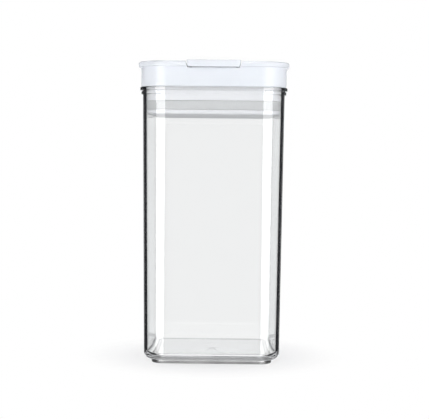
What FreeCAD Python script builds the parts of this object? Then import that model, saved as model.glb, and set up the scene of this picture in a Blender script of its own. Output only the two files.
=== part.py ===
"""Square clear canister with a lid that seals by a flip lever.

Millimetres, +Z up. The origin is the middle of the foot's underside, and the lever's free end
points to the front, -Y. Turning the lever up lets a stem and a pressure plate down, and the ring
between plug and plate goes slack.
"""
import FreeCAD, Part
import math
import os
import re

import Sketcher

DRIVING_SIZES = {
    # Canister
    "body_height": 190.4,
    "body_width_top": 98.0,
    "body_width_base": 94.0,
    "body_corner": 16.4,
    "wall": 2.4,
    "floor_thickness": 3.2,
    "base_rounding": 6.0,
    "corner_share": 0.9,
    "foot_height": 2.4,
    "foot_inset": 5.4,
    "foot_ring": 3.2,
    "foot_rounding": 0.7,
    "gate_diameter": 5.0,
    "gate_height": 0.4,
    "upper_bead_height": 2.3,
    "upper_bead_proud": 1.8,
    "lower_bead_height": 2.1,
    "lower_bead_proud": 1.0,
    "bead_groove": 0.6,
    "groove_proud": 0.3,
    "bead_roundness": 0.2,
    "mouth_rounding": 0.6,
    # Lid cap
    "lid_height": 17.3,
    "lip_height": 3.6,
    "lip_overhang": 1.9,
    "lip_top_rounding": 1.5,
    "lip_lower_rounding": 0.6,
    "skirt_proud": 1.1,
    "skirt_rounding": 0.8,
    "lid_wall": 2.2,
    "lid_top_thickness": 2.4,
    "channel_floor_thickness": 2.0,
    "channel_rounding": 0.6,
    "well_wall": 2.0,
    "well_floor_thickness": 2.4,
    "well_gap": 0.6,
    # Flip lever and its cams
    "lever_width": 37.4,
    "lever_thickness": 4.8,
    "lever_proud": 0.8,
    "lever_side_gap": 0.3,
    "lever_under_gap": 1.5,
    "bed_gap": 0.4,
    "finger_depth": 2.5,
    "lever_tail": 3.2,
    "lever_rounding": 0.7,
    "lever_corner": 2.0,
    "lever_neck_room": 3.0,
    "lever_skin": 2.2,
    "lever_rib": 1.8,
    "side_slant": 15.0,
    "pin_depth": 4.9,
    "pin_diameter": 3.0,
    "pin_clearance": 0.04,
    "pin_inset": 0.3,
    "cam_span": 28.0,
    "cam_radius": 5.0,
    "cam_lift": 3.0,
    "cam_gap": 0.12,
    "cam_plate_thickness": 1.2,
    "cam_plate_gap": 0.3,
    # Stem
    "eye_width": 8.0,
    "eye_wall": 1.9,
    "eye_gap": 0.4,
    "eye_side_gap": 0.6,
    "stem_diameter": 6.0,
    "stem_clearance": 0.15,
    "stem_engagement": 6.0,
    "socket_clearance": 0.03,
    # Plug
    "plug_depth": 9.2,
    "plug_clearance": 0.5,
    "plug_wall": 2.0,
    "plug_floor_thickness": 2.2,
    "flange_thickness": 2.0,
    "flange_rim_gap": 0.3,
    "flange_side_gap": 0.25,
    "collar_wall": 2.0,
    "collar_height": 4.0,
    # Seal ring and pressure plate
    "seal_height": 6.4,
    "seal_width": 5.7,
    "seal_gap": 0.2,
    "seal_rounding": 0.5,
    "seat_gap": 0.3,
    "seat_wall": 2.0,
    "seat_rise": 2.4,
    "spigot_drop": 1.6,
    "plate_edge": 3.2,
    "plate_thickness": 2.2,
    "plate_clearance": 0.8,
    "plate_rounding": 1.4,
    "boss_wall": 1.8,
    # Spring
    "spring_wire": 0.9,
    "spring_diameter": 11.4,
    "spring_turns": 6.0,
    "spring_end_gap": 0.05,
    "spring_room": 1.5,
    "closed_coil_gap": 0.55,
    # Screws that hold the plug to the cap
    "screw_inset": 12.1,
    "screw_diameter": 3.0,
    "screw_length": 12.0,
    "screw_clearance": 0.05,
    "screw_end_gap": 1.0,
    "head_diameter": 5.6,
    "head_height": 1.8,
    "head_clearance": 0.3,
    "head_sink": 0.2,
    "head_land": 2.6,
    "drive_width": 2.4,
    "drive_depth": 1.0,
    "screw_boss_wall": 2.5,
}

DERIVED_SIZES = {
    # Canister
    "taper": "(body_width_top - body_width_base) / 2 / (body_height - foot_height)",
    "draft_angle": "atan(abs(taper))",
    "floor_level": "foot_height + floor_thickness",
    "floor_width": "body_width_base + 2 * taper * floor_thickness - 2 * wall",
    "mouth_width": "body_width_top - 2 * wall",
    "inner_corner": "body_corner - wall",
    "floor_corner": "inner_corner - taper * (body_height - floor_level)",
    "hollow_width": "min(floor_width; mouth_width)",
    "hollow_corner": "min(floor_corner; inner_corner)",
    "base_corner": "body_corner - taper * (body_height - foot_height)",
    "base_fillet": "min(base_rounding; corner_share * base_corner)",
    "inner_fillet": "min(max(base_rounding - wall; wall / 2); corner_share * floor_corner)",
    "foot_width": "body_width_base - 2 * foot_inset",
    "foot_corner": "max(base_corner - foot_inset; foot_ring + foot_rounding)",
    "upper_bead_level": "body_height - upper_bead_height",
    "lower_bead_level": "upper_bead_level - bead_groove - lower_bead_height",
    "upper_bead_width": "body_width_top + 2 * upper_bead_proud",
    "lower_bead_width": "body_width_top + 2 * lower_bead_proud",
    "groove_width": "body_width_top + 2 * groove_proud",
    "upper_bead_rounding": "bead_roundness * min(upper_bead_height; 2 * (upper_bead_proud - groove_proud))",
    "lower_bead_rounding": "bead_roundness * min(lower_bead_height; 2 * (lower_bead_proud - groove_proud))",
    # Lid cap
    "lid_top": "body_height + lid_height",
    "lip_level": "lid_top - lip_height",
    "skirt_width": "body_width_top + 2 * skirt_proud",
    "skirt_corner": "body_corner + skirt_proud",
    "lip_width": "skirt_width + 2 * lip_overhang",
    "lip_corner": "skirt_corner + lip_overhang",
    "cap_ceiling": "lid_top - lid_top_thickness",
    "cap_inner_width": "skirt_width - 2 * lid_wall",
    "cap_inner_corner": "skirt_corner - lid_wall",
    # Lever, channel and well
    "lever_top": "lid_top + lever_proud",
    "lever_bottom": "lever_top - lever_thickness",
    "lever_front": "lip_width / 2",
    "lever_under_width": "lever_width - 2 * lever_thickness * tan(side_slant)",
    "lever_neck_width": "lever_under_width - 2 * lever_rounding",
    "lever_neck_front": "cam_lift + lever_under_gap + lever_neck_room",
    "channel_level": "lever_bottom - lever_under_gap",
    "bed_rise": "lever_under_gap - bed_gap",
    "channel_bottom_width": "lever_under_width + 2 * lever_side_gap",
    "channel_cut_top": "lever_top + lever_proud",
    "channel_top_width": "channel_bottom_width + 2 * (channel_cut_top - channel_level) * tan(side_slant)",
    "pin_level": "lever_top - pin_depth",
    "cam_offset": "cam_lift / 2",
    "cam_plate_top": "pin_level - cam_offset - cam_radius - cam_gap",
    "well_level": "cam_plate_top - cam_plate_thickness",
    "well_bottom": "well_level - well_floor_thickness",
    "well_width": "channel_bottom_width",
    "well_rear": "sqrt(lever_tail ^ 2 + pin_depth ^ 2) + well_gap",
    "well_front": "cam_lift / sqrt(2) + cam_radius + well_gap",
    "eye_radius": "pin_diameter / 2 + eye_wall",
    "slot_width": "eye_width + 2 * eye_side_gap",
    "slot_top": "pin_level + eye_radius + eye_gap",
    "stem_hole": "stem_diameter + 2 * stem_clearance",
    # Plug, seal and plate
    "plug_level": "body_height - plug_depth",
    "plug_width": "mouth_width - 2 * plug_clearance",
    "plug_corner": "inner_corner - plug_clearance",
    "plug_ceiling": "plug_level + plug_floor_thickness",
    "flange_level": "body_height + flange_rim_gap",
    "flange_top": "flange_level + flange_thickness",
    "flange_width": "cap_inner_width - 2 * flange_side_gap",
    "flange_corner": "cap_inner_corner - flange_side_gap",
    "seal_level": "plug_level - seal_height",
    "mouth_taper": "max(taper; 0)",
    "seal_width_outside": "mouth_width - 2 * mouth_taper * (body_height - seal_level) - 2 * seal_gap",
    "seal_corner": "inner_corner - mouth_taper * (body_height - seal_level) - seal_gap",
    "seal_width_inside": "seal_width_outside - 2 * seal_width",
    "seal_corner_inside": "seal_corner - seal_width",
    "seat_width": "seal_width_inside - 2 * seat_gap",
    "seat_corner": "seal_corner_inside - seat_gap",
    "seat_width_inside": "seat_width - 2 * seat_wall",
    "seat_corner_inside": "max(seat_corner - seat_wall; seat_wall)",
    "plate_level": "seal_level - plate_edge",
    "plate_ceiling": "plate_level + plate_thickness",
    "plate_width": "seal_width_outside + 2 * seal_gap - 2 * plate_clearance",
    "plate_corner": "seal_corner + seal_gap - plate_clearance",
    "boss_diameter": "stem_diameter + 2 * boss_wall",
    "spring_hole": "spring_diameter + spring_wire + 2 * spring_room",
    "collar_diameter": "spring_hole + 2 * collar_wall",
    # Screws
    "screw_pitch": "plug_width - 2 * plug_wall - 2 * screw_inset",
    "screw_place": "screw_pitch / 2",
    "screw_seat": "plug_level + head_height + head_sink",
    "screw_land_top": "screw_seat + head_land",
    "head_hole": "head_diameter + 2 * head_clearance",
    "screw_hole": "screw_diameter + 2 * screw_clearance",
    "screw_hole_depth": "screw_length - head_land + screw_end_gap",
    "screw_boss": "screw_diameter + 2 * screw_boss_wall",
    "land_diameter": "head_hole + 2 * plug_wall",
}

LEVER_POCKETS = 3
SPRING_STEPS_PER_TURN = 4
SAME_PLACE = 0.01
MIN_SPRING_GAP = 0.4

doc = FreeCAD.newDocument("Canister")
sheet = doc.addObject("Spreadsheet::Sheet", "Sizes")
for row, (alias, size) in enumerate(DRIVING_SIZES.items(), start=1):
    sheet.set(f"A{row}", alias.replace("_", " "))
    sheet.set(f"B{row}", str(size))
    sheet.setAlias(f"B{row}", alias)
doc.recompute()


def bound(text):
    """Turn a text that uses size names into an expression on the sheet's cells."""
    def replace_name(match):
        name = match.group(0)
        if name in DERIVED_SIZES:
            return f"({bound(DERIVED_SIZES[name])})"
        if name in DRIVING_SIZES:
            return f"Sizes.{name}"
        return name
    return re.sub(r"[a-z_]+", replace_name, text)


def number(text):
    """Work out a text that uses size names, in millimetres or degrees."""
    return float(sheet.evalExpression(bound(text)))


# Sketches

def new_body(label):
    """Start one sub-part."""
    body = doc.addObject("PartDesign::Body", label)
    body.Label = label
    return body


def new_sketch(body, name, role="XY_Plane", offset="0"):
    """Start a sketch on one of the body's own planes, moved along that plane's normal."""
    sketch = body.newObject("Sketcher::SketchObject", f"{body.Name}_{name}")
    plane = next(item for item in body.Origin.OriginFeatures if item.Role == role)
    sketch.AttachmentSupport = [(plane, "")]
    sketch.MapMode = "FlatFace"
    if offset != "0":
        sketch.setExpression("AttachmentOffset.Base.z", bound(offset))
    return sketch


def constrain(sketch, constraint, text):
    """Add a dimension to a sketch and bind it to the sheet."""
    index = sketch.addConstraint(constraint)
    sketch.setExpression(f"Constraints[{index}]", bound(text))


def place_point(sketch, shape, point, across=None, up=None):
    """Dimension a point of a shape from the sketch's origin, along one or both axes."""
    for kind, text in (("DistanceX", across), ("DistanceY", up)):
        if text is None:
            continue
        value = number(text)
        if abs(value) < SAME_PLACE:
            axis = -2 if kind == "DistanceX" else -1
            sketch.addConstraint(Sketcher.Constraint("PointOnObject", shape, point, axis))
        elif value > 0:
            constrain(sketch, Sketcher.Constraint(kind, -1, 1, shape, point, value), text)
        else:
            constrain(sketch, Sketcher.Constraint(kind, shape, point, -1, 1, -value), f"-({text})")


def add_lines(sketch, corners):
    """Draw a closed outline of straight lines and return the first line's number."""
    points = [FreeCAD.Vector(number(across), number(up), 0) for across, up in corners]
    first = sketch.GeometryCount
    count = len(points)
    for start, end in zip(points, points[1:] + points[:1]):
        sketch.addGeometry(Part.LineSegment(start, end), False)
    for index in range(count):
        following = first + (index + 1) % count
        sketch.addConstraint(Sketcher.Constraint("Coincident", first + index, 2, following, 1))
    return first


def add_rectangle(sketch, left, right, low, high):
    """Draw a rectangle whose four sides are dimensioned from the sketch's origin."""
    first = add_lines(sketch, [(left, low), (right, low), (right, high), (left, high)])
    for index, kind in enumerate(("Horizontal", "Vertical", "Horizontal", "Vertical")):
        sketch.addConstraint(Sketcher.Constraint(kind, first + index))
    place_point(sketch, first, 1, left, low)
    place_point(sketch, first + 2, 1, right, high)


def add_trapezoid(sketch, low_width, high_width, low, high):
    """Draw a trapezoid that is even about the sketch's upright axis."""
    corners = [(f"-({low_width}) / 2", low), (f"({low_width}) / 2", low),
               (f"({high_width}) / 2", high), (f"-({high_width}) / 2", high)]
    first = add_lines(sketch, corners)
    for index in (0, 2):
        sketch.addConstraint(Sketcher.Constraint("Symmetric", first + index, 1, first + index, 2, -2))
    place_point(sketch, first, 2, corners[1][0], low)
    place_point(sketch, first + 2, 1, corners[2][0], high)


def add_rounded_square(sketch, width, corner):
    """Draw a square with round corners about the sketch's origin."""
    half = number(width) / 2
    radius = number(corner)
    reach = half - radius
    first = sketch.GeometryCount
    for quarter in range(4):
        turn = quarter * math.pi / 2
        spin = FreeCAD.Rotation(FreeCAD.Vector(0, 0, 1), math.degrees(turn))
        start = spin.multVec(FreeCAD.Vector(half, -reach, 0))
        end = spin.multVec(FreeCAD.Vector(half, reach, 0))
        centre = spin.multVec(FreeCAD.Vector(reach, reach, 0))
        circle = Part.Circle(centre, FreeCAD.Vector(0, 0, 1), radius)
        sketch.addGeometry(Part.LineSegment(start, end), False)
        sketch.addGeometry(Part.ArcOfCircle(circle, turn, turn + math.pi / 2), False)
    for quarter in range(4):
        side = first + 2 * quarter
        arc = side + 1
        next_side = first + (2 * quarter + 2) % 8
        sketch.addConstraint(Sketcher.Constraint("Tangent", side, 2, arc, 1))
        sketch.addConstraint(Sketcher.Constraint("Tangent", arc, 2, next_side, 1))
        sketch.addConstraint(Sketcher.Constraint("Vertical" if quarter % 2 == 0 else "Horizontal", side))
        if quarter:
            sketch.addConstraint(Sketcher.Constraint("Equal", first + 1, arc))
    constrain(sketch, Sketcher.Constraint("Radius", first + 1, radius), corner)
    place_point(sketch, first, 1, across=f"({width}) / 2")
    place_point(sketch, first + 2, 1, up=f"({width}) / 2")
    place_point(sketch, first + 4, 1, across=f"-({width}) / 2")
    place_point(sketch, first + 6, 1, up=f"-({width}) / 2")


def add_circle(sketch, diameter, across="0", up="0"):
    """Draw a circle with its centre dimensioned from the sketch's origin."""
    centre = FreeCAD.Vector(number(across), number(up), 0)
    radius = number(diameter) / 2
    index = sketch.addGeometry(Part.Circle(centre, FreeCAD.Vector(0, 0, 1), radius), False)
    place_point(sketch, index, 3, across, up)
    constrain(sketch, Sketcher.Constraint("Diameter", index, 2 * radius), diameter)


# Features

def pad(body, name, sketch, length, reverse=False, both_ways=False):
    """Add material along the sketch's normal."""
    feature = body.newObject("PartDesign::Pad", f"{body.Name}_{name}")
    feature.Profile = sketch
    feature.setExpression("Length", bound(length))
    feature.Reversed = reverse
    if both_ways:
        feature.SideType = "Symmetric"
    doc.recompute()
    return feature


def pocket(body, name, sketch, length, reverse=False, both_ways=False):
    """Cut material against the sketch's normal, and see that something was cut."""
    volume_before = body.Shape.Volume
    feature = body.newObject("PartDesign::Pocket", f"{body.Name}_{name}")
    feature.Profile = sketch
    feature.setExpression("Length", bound(length))
    feature.Reversed = reverse
    if both_ways:
        feature.SideType = "Symmetric"
    doc.recompute()
    if body.Shape.Volume > volume_before - SAME_PLACE:
        raise RuntimeError(f"{feature.Name} cut nothing")
    return feature


def draft(body, name, neutral_level, width, reverse):
    """Lean the sides of a square block or hollow, keeping their outline at one level.

    The direction is given for a base that is narrower than the rim.
    """
    base = body.Tip
    taper = number("taper")
    if abs(taper) * number("body_height") < SAME_PLACE:
        return base
    sides = []
    neutral = None
    for index, face in enumerate(base.Shape.Faces, start=1):
        box = face.BoundBox
        reach = max(abs(box.XMin), abs(box.XMax), abs(box.YMin), abs(box.YMax))
        upright = box.ZLength > SAME_PLACE
        if upright and close(reach, f"({width}) / 2"):
            sides.append(f"Face{index}")
        elif not upright and close(box.ZMin, neutral_level):
            neutral = f"Face{index}"
    feature = body.newObject("PartDesign::Draft", f"{body.Name}_{name}")
    feature.Base = (base, sides)
    feature.NeutralPlane = (base, [neutral])
    feature.Reversed = reverse if taper > 0 else not reverse
    feature.setExpression("Angle", bound("draft_angle"))
    doc.recompute()
    return feature


def fillet(body, name, radius, wanted):
    """Round the edges of the body that a test on their end points picks."""
    base = body.Tip
    names = []
    for index, edge in enumerate(base.Shape.Edges, start=1):
        if wanted([vertex.Point for vertex in edge.Vertexes]):
            names.append(f"Edge{index}")
    if not names:
        raise RuntimeError(f"{body.Name}_{name} found no edge")
    feature = body.newObject("PartDesign::Fillet", f"{body.Name}_{name}")
    feature.Base = (base, names)
    feature.setExpression("Radius", bound(radius))
    doc.recompute()
    return feature


def close(value, text):
    """Say whether a coordinate is where a text puts it."""
    return abs(value - number(text)) < SAME_PLACE


def outline_at(level, width):
    """Return a test for the edges of a square outline at one level."""
    def wanted(points):
        reach = max(max(abs(point.x), abs(point.y)) for point in points)
        return all(close(point.z, level) for point in points) and close(reach, f"({width}) / 2")
    return wanted


def square_ring(body, name, level, length, outside, inside):
    """Add a ring between two square outlines, each given as width and corner."""
    sketch = new_sketch(body, f"{name}_outline", offset=level)
    add_rounded_square(sketch, *outside)
    add_rounded_square(sketch, *inside)
    return pad(body, name, sketch, length)


def square_pad(body, name, level, length, outline):
    """Add a solid square block with round corners."""
    sketch = new_sketch(body, f"{name}_outline", offset=level)
    add_rounded_square(sketch, *outline)
    return pad(body, name, sketch, length)


def square_pocket(body, name, level, length, outline, reverse=True):
    """Cut a square hollow with round corners, upwards unless told otherwise."""
    sketch = new_sketch(body, f"{name}_outline", offset=level)
    add_rounded_square(sketch, *outline)
    return pocket(body, name, sketch, length, reverse=reverse)


def corner_circles(body, name, level, diameter):
    """Start a sketch with a circle at each of the four screw places."""
    sketch = new_sketch(body, f"{name}_outline", offset=level)
    for across in ("screw_place", "-(screw_place)"):
        for up in ("screw_place", "-(screw_place)"):
            add_circle(sketch, diameter, across, up)
    return sketch


# Sub-parts

def make_canister_body():
    """Clear tapered body with a foot ring, a rounded base and two beads below the rim."""
    body = new_body("canister_body")
    square_pad(body, "shell", "foot_height", "body_height - foot_height", ("body_width_top", "body_corner"))
    draft(body, "shell_draft", "body_height", "body_width_top", reverse=True)
    fillet(body, "base_edge", "base_fillet", outline_at("foot_height", "body_width_base"))

    square_pad(body, "collar", "lower_bead_level", "body_height - (lower_bead_level)",
               ("groove_width", "body_corner + groove_proud"))
    square_pad(body, "lower_bead", "lower_bead_level", "lower_bead_height",
               ("lower_bead_width", "body_corner + lower_bead_proud"))
    square_pad(body, "upper_bead", "upper_bead_level", "upper_bead_height",
               ("upper_bead_width", "body_corner + upper_bead_proud"))
    for name in ("upper_bead", "lower_bead"):
        low = outline_at(f"{name}_level", f"{name}_width")
        high = outline_at(f"{name}_level + {name}_height", f"{name}_width")
        fillet(body, f"{name}_edge", f"{name}_rounding",
               lambda points, low=low, high=high: low(points) or high(points))

    # The hollow is cut as wide as its narrower end and leans outwards from there.
    narrow_end = "floor_level" if number("taper") > 0 else "body_height"
    square_pocket(body, "hollow", "floor_level", "body_height - floor_level",
                  ("hollow_width", "hollow_corner"))
    draft(body, "hollow_draft", narrow_end, "hollow_width", reverse=False)
    fillet(body, "floor_edge", "inner_fillet", outline_at("floor_level", "floor_width"))
    fillet(body, "mouth_edge", "mouth_rounding", outline_at("body_height", "mouth_width"))

    square_ring(body, "foot", "0", "foot_height + floor_thickness / 2",
                ("foot_width", "foot_corner"),
                ("foot_width - 2 * foot_ring", "foot_corner - foot_ring"))
    fillet(body, "foot_edge", "foot_rounding", outline_at("0", "foot_width"))
    gate = new_sketch(body, "gate_outline", offset="foot_height")
    add_circle(gate, "gate_diameter")
    pad(body, "gate", gate, "gate_height", reverse=True)
    return body


def make_lid_cap():
    """White cap: lip, skirt, lever channel with a finger recess at its front, cam well and screw bosses."""
    body = new_body("lid_cap")
    square_pad(body, "lip", "lip_level", "lip_height", ("lip_width", "lip_corner"))
    fillet(body, "lip_top", "lip_top_rounding", outline_at("lid_top", "lip_width"))
    fillet(body, "lip_lower", "lip_lower_rounding", outline_at("lip_level", "lip_width"))
    square_pad(body, "skirt", "body_height", "lip_level - body_height",
               ("skirt_width", "skirt_corner"))
    fillet(body, "skirt_edge", "skirt_rounding", outline_at("body_height", "skirt_width"))
    square_pocket(body, "hollow", "body_height", "cap_ceiling - body_height",
                  ("cap_inner_width", "cap_inner_corner"))

    tray = new_sketch(body, "tray_outline", offset="channel_level - channel_floor_thickness")
    tray_half = "(channel_top_width / 2 + well_wall)"
    add_rectangle(tray, f"-{tray_half}", tray_half,
                  "-(cap_inner_width + lid_wall) / 2", "well_rear + well_wall")
    pad(body, "tray", tray, "cap_ceiling - (channel_level - channel_floor_thickness)")
    well_block = new_sketch(body, "well_block_outline", offset="well_bottom")
    block_half = "(well_width / 2 + well_wall)"
    add_rectangle(well_block, f"-{block_half}", block_half,
                  "-(well_front + well_wall)", "well_rear + well_wall")
    pad(body, "well_block", well_block, "channel_level - well_bottom")
    bosses = corner_circles(body, "bosses", "screw_land_top", "screw_boss")
    pad(body, "bosses", bosses, "cap_ceiling - screw_land_top")

    channel = new_sketch(body, "channel_outline", "XZ_Plane", "-(well_rear)")
    add_trapezoid(channel, "channel_bottom_width", "channel_top_width", "channel_level", "channel_cut_top")
    pocket(body, "channel", channel, "well_rear + lip_width", reverse=True)

    def channel_edge(points):
        rises = [point.z - number("channel_level") for point in points]
        slope = math.tan(math.radians(number("side_slant")))
        on_side = all(close(abs(point.x), f"channel_bottom_width / 2 + {rise * slope}")
                      for point, rise in zip(points, rises))
        above_lip = all(point.z > number("lip_level + lip_lower_rounding") - SAME_PLACE for point in points)
        along_side = max(point.y for point in points) - min(point.y for point in points) > SAME_PLACE
        upright_front = all(close(point.y, "-lip_width / 2") for point in points)
        return on_side and above_lip and (along_side or upright_front)
    fillet(body, "channel_edge", "channel_rounding", channel_edge)
    bed = new_sketch(body, "bed_outline", offset="channel_level")
    bed_half = "(channel_bottom_width / 2 + bed_rise)"
    add_rectangle(bed, f"-{bed_half}", bed_half, "-(lever_front - finger_depth)", "-well_front")
    pad(body, "bed", bed, "bed_rise")
    well = new_sketch(body, "well_outline", offset="well_level")
    add_rectangle(well, "-well_width / 2", "well_width / 2", "-well_front", "well_rear")
    pocket(body, "well", well, "channel_level - well_level", reverse=True)
    stem_way = new_sketch(body, "stem_way_outline", offset="well_bottom")
    add_circle(stem_way, "stem_hole")
    pocket(body, "stem_way", stem_way, "well_floor_thickness", reverse=True)
    pilot_holes = corner_circles(body, "pilot_holes", "screw_land_top", "screw_hole")
    pocket(body, "pilot_holes", pilot_holes, "screw_hole_depth", reverse=True)
    return body


def make_flip_lever():
    """White lever with a cored underside, two eccentric cams, a slot for the stem's eye and a pin bore."""
    body = new_body("flip_lever")
    section = new_sketch(body, "section", "XZ_Plane", "-lever_tail")
    add_trapezoid(section, "lever_under_width", "lever_width", "lever_bottom", "lever_top")
    pad(body, "blade", section, "lever_tail + lever_front")

    def front_corner(points):
        at_front = all(close(point.y, "-(lever_front)") for point in points)
        return at_front and abs(points[0].z - points[-1].z) > SAME_PLACE
    fillet(body, "front_corner", "lever_corner", front_corner)

    def rim_edge(points):
        at_top = all(close(point.z, "lever_top") for point in points)
        in_front = all(point.y < -number("lever_front - lever_corner") + SAME_PLACE for point in points)
        at_bottom = all(close(point.z, "lever_bottom") for point in points)
        return at_top or (in_front and at_bottom)
    fillet(body, "rim_edge", "lever_rounding", rim_edge)

    neck = new_sketch(body, "neck_outline", offset="lever_bottom")
    add_rectangle(neck, "lever_neck_width / 2", "lever_width", "-(lever_neck_front)", "2 * lever_tail")
    add_rectangle(neck, "-lever_width", "-lever_neck_width / 2", "-(lever_neck_front)", "2 * lever_tail")
    pocket(body, "neck", neck, "lever_thickness", reverse=True)
    cams = new_sketch(body, "cams_outline", "YZ_Plane")
    add_circle(cams, "2 * cam_radius", "-(cam_offset)", "pin_level - cam_offset")
    pad(body, "cams", cams, "cam_span", both_ways=True)
    slot = new_sketch(body, "slot_outline", "YZ_Plane")
    add_rectangle(slot, "-(eye_radius + eye_gap)", "2 * cam_radius",
                  "pin_level - 2 * cam_radius - cam_lift", "slot_top")
    pocket(body, "slot", slot, "slot_width", both_ways=True)
    bore = new_sketch(body, "bore_outline", "YZ_Plane")
    add_circle(bore, "pin_diameter + 2 * pin_clearance", "0", "pin_level")
    pocket(body, "bore", bore, "cam_span + lever_width", both_ways=True)

    coring = new_sketch(body, "coring_outline", offset="lever_bottom")
    half = "(lever_under_width / 2 - lever_skin)"
    rear = "(well_front + lever_skin)"
    length = f"((lever_front - lever_skin - {rear} - {LEVER_POCKETS - 1} * lever_rib) / {LEVER_POCKETS})"
    for index in range(LEVER_POCKETS):
        near = f"({rear} + {index} * ({length} + lever_rib))"
        add_rectangle(coring, f"-{half}", half, f"-({near} + {length})", f"-{near}")
    pocket(body, "coring", coring, "lever_thickness - lever_skin", reverse=True)
    return body


def make_draw_stem():
    """Stem with a cross eye for the lever's pin; its lower end is fixed in the plate's boss."""
    body = new_body("draw_stem")
    shank = new_sketch(body, "shank_outline", offset="plate_ceiling")
    add_circle(shank, "stem_diameter")
    pad(body, "shank", shank, "pin_level - plate_ceiling")
    eye = new_sketch(body, "eye_outline", "YZ_Plane")
    add_circle(eye, "2 * eye_radius", "0", "pin_level")
    pad(body, "eye", eye, "eye_width", both_ways=True)
    bore = new_sketch(body, "bore_outline", "YZ_Plane")
    add_circle(bore, "pin_diameter + 2 * pin_clearance", "0", "pin_level")
    pocket(body, "bore", bore, "2 * eye_width", both_ways=True)
    return body


def make_lever_pin():
    """Steel pin with broken edges, a little shorter than the cams are wide."""
    body = new_body("lever_pin")
    outline = new_sketch(body, "outline", "YZ_Plane")
    add_circle(outline, "pin_diameter", "0", "pin_level")
    pin = pad(body, "rod", outline, "cam_span - 2 * pin_inset", both_ways=True)
    edges = [f"Edge{index}" for index, edge in enumerate(pin.Shape.Edges, start=1) if edge.isClosed()]
    chamfer = body.newObject("PartDesign::Chamfer", "lever_pin_ends")
    chamfer.Base = (pin, edges)
    chamfer.setExpression("Size", bound("pin_diameter / 8"))
    doc.recompute()
    return body


def make_cam_plate():
    """Wear plate on the well's floor, which the cams press on and the stem passes through."""
    body = new_body("cam_plate")
    outline = new_sketch(body, "outline", offset="well_level")
    half = "(well_width / 2 - cam_plate_gap)"
    add_rectangle(outline, f"-{half}", half, "-(well_front - cam_plate_gap)", "well_rear - cam_plate_gap")
    add_circle(outline, "stem_hole")
    pad(body, "plate", outline, "cam_plate_thickness")
    return body


def make_lid_plug():
    """White cup under the cap that goes down into the mouth and carries the seal ring."""
    body = new_body("lid_plug")
    square_pad(body, "cup", "plug_level", "flange_top - plug_level", ("plug_width", "plug_corner"))
    square_pad(body, "flange", "flange_level", "flange_thickness", ("flange_width", "flange_corner"))
    square_pocket(body, "hollow", "plug_ceiling", "flange_top - plug_ceiling",
                  ("plug_width - 2 * plug_wall", "plug_corner - plug_wall"))
    square_ring(body, "spigot", "plug_level - spigot_drop", "spigot_drop + plug_floor_thickness / 2",
                ("seat_width", "seat_corner"), ("seat_width_inside", "seat_corner_inside"))
    lands = corner_circles(body, "lands", "plug_level", "land_diameter")
    pad(body, "lands", lands, "screw_land_top - plug_level")
    collar = new_sketch(body, "collar_outline", offset="plug_level")
    add_circle(collar, "collar_diameter")
    pad(body, "collar", collar, "plug_floor_thickness + collar_height")
    spring_way = new_sketch(body, "spring_way_outline", offset="plug_level")
    add_circle(spring_way, "spring_hole")
    pocket(body, "spring_way", spring_way, "plug_floor_thickness + collar_height", reverse=True)
    heads = corner_circles(body, "heads", "plug_level", "head_hole")
    pocket(body, "heads", heads, "screw_seat - plug_level", reverse=True)
    holes = corner_circles(body, "holes", "screw_seat", "screw_hole")
    pocket(body, "holes", holes, "head_land", reverse=True)
    return body


def make_seal_ring():
    """Grey silicone ring between the plug and the plate."""
    body = new_body("seal_ring")
    square_ring(body, "ring", "seal_level", "seal_height",
                ("seal_width_outside", "seal_corner"), ("seal_width_inside", "seal_corner_inside"))
    low = outline_at("seal_level", "seal_width_outside")
    high = outline_at("plug_level", "seal_width_outside")
    fillet(body, "edges", "seal_rounding", lambda points: low(points) or high(points))
    return body


def make_pressure_plate():
    """White plate under the ring, with a seat for the ring and a closed boss for the stem."""
    body = new_body("pressure_plate")
    square_pad(body, "slab", "plate_level", "plate_edge", ("plate_width", "plate_corner"))
    fillet(body, "lower_edge", "plate_rounding", outline_at("plate_level", "plate_width"))
    square_pad(body, "seat", "seal_level", "seat_rise", ("seat_width", "seat_corner"))
    square_pocket(body, "hollow", "plate_ceiling", "plate_edge - plate_thickness + seat_rise",
                  ("seat_width_inside", "seat_corner_inside"))
    boss = new_sketch(body, "boss_outline", offset="plate_ceiling")
    add_circle(boss, "boss_diameter")
    pad(body, "boss", boss, "stem_engagement")
    socket = new_sketch(body, "socket_outline", offset="plate_ceiling")
    add_circle(socket, "stem_diameter + 2 * socket_clearance")
    pocket(body, "socket", socket, "stem_engagement", reverse=True)
    return body


def make_lid_screws():
    """Four socket-head screws, put in from under the plug's floor."""
    screws = []
    places = [(across, up) for across in (1, -1) for up in (1, -1)]
    for index, (across, up) in enumerate(places, start=1):
        head = doc.addObject("Part::Cylinder", f"screw_{index}_head")
        head.setExpression("Radius", bound("head_diameter / 2"))
        head.setExpression("Height", bound("head_height"))
        shank = doc.addObject("Part::Cylinder", f"screw_{index}_shank")
        shank.setExpression("Radius", bound("screw_diameter / 2"))
        shank.setExpression("Height", bound("screw_length"))
        drive = doc.addObject("Part::Prism", f"screw_{index}_drive")
        drive.Polygon = 6
        drive.setExpression("Circumradius", bound("drive_width / sqrt(3)"))
        drive.setExpression("Height", bound("drive_depth"))
        for item, level in ((head, "screw_seat - head_height"), (shank, "screw_seat"),
                            (drive, "screw_seat - head_height")):
            item.setExpression("Placement.Base.x", bound(f"{across} * screw_place"))
            item.setExpression("Placement.Base.y", bound(f"{up} * screw_place"))
            item.setExpression("Placement.Base.z", bound(level))
        blank = doc.addObject("Part::Fuse", f"screw_{index}_blank")
        blank.Base = head
        blank.Tool = shank
        screw = doc.addObject("Part::Cut", f"screw_{index}")
        screw.Base = blank
        screw.Tool = drive
        screws.append(screw)
    group = doc.addObject("Part::Compound", "lid_screws")
    group.Label = "lid_screws"
    group.Links = screws
    doc.recompute()
    return group


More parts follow.
